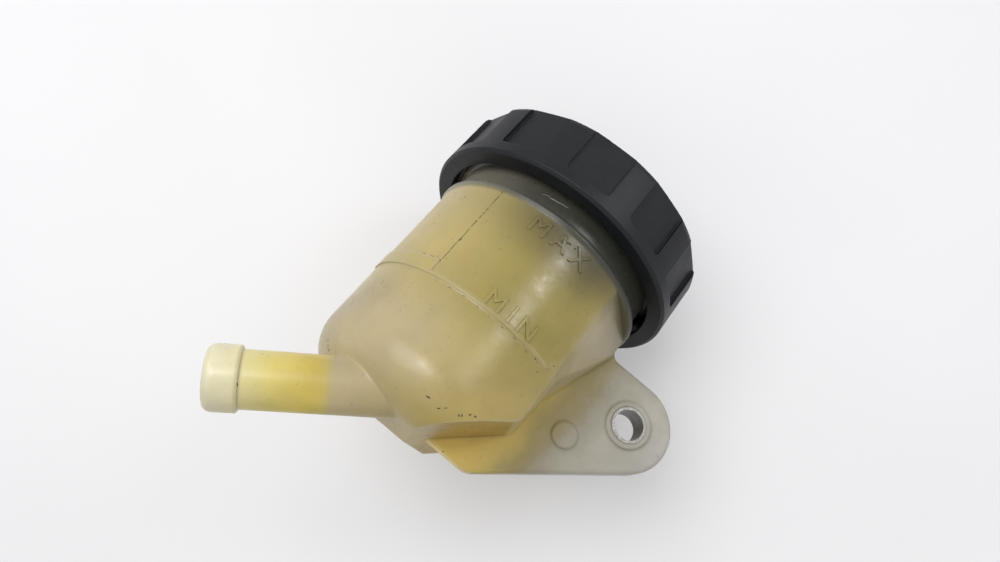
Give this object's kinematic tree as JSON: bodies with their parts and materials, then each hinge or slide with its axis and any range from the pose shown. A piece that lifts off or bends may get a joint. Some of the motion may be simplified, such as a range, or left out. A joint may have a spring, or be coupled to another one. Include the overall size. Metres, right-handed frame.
{
  "type": "brake fluid reservoir",
  "caption": "Remote brake fluid reservoir: a translucent round bowl with a bolt-on ear, a slanted hose spigot and a black screw cap over a rubber diaphragm.",
  "frame": {"origin": "middle of the bush's bore in the mounting ear", "axes": "+Z along the bowl's axis towards the cap, +X from the bowl towards the ear, +Y away from the side with the level marks, so that the mounting bolt's head is on the -Y side"},
  "size_m": [0.0774, 0.058, 0.0821],
  "materials": {
    "translucent_plastic": "translucent moulded plastic, aged yellow",
    "bush_steel": "bright plated steel",
    "black_rubber": "moulded rubber",
    "plate_plastic": "plain moulded plastic",
    "cap_plastic": "satin moulded plastic"
  },
  "bodies": {
    "reservoir": {"reservoir_body": "translucent_plastic", "mounting_bush": "bush_steel", "diaphragm": "black_rubber"},
    "plate": {"diaphragm_plate": "plate_plastic"},
    "cap": {"screw_cap": "cap_plastic"}
  },
  "joints": [
    {"name": "cap_rise", "type": "slide", "parent": "reservoir", "child": "plate", "axis": [0, 0, 1], "range_m": [0, 0.006]},
    {"name": "cap_turn", "type": "hinge", "parent": "plate", "child": "cap", "pos_m": [-0.0349, 0, 0.0251], "axis": [0, 0, 1], "range_deg": [0, 720]}
  ],
  "couplings": [
    {"joint": "cap_rise", "follows": "cap_turn", "m_per_rad": 0.00047746}
  ]
}
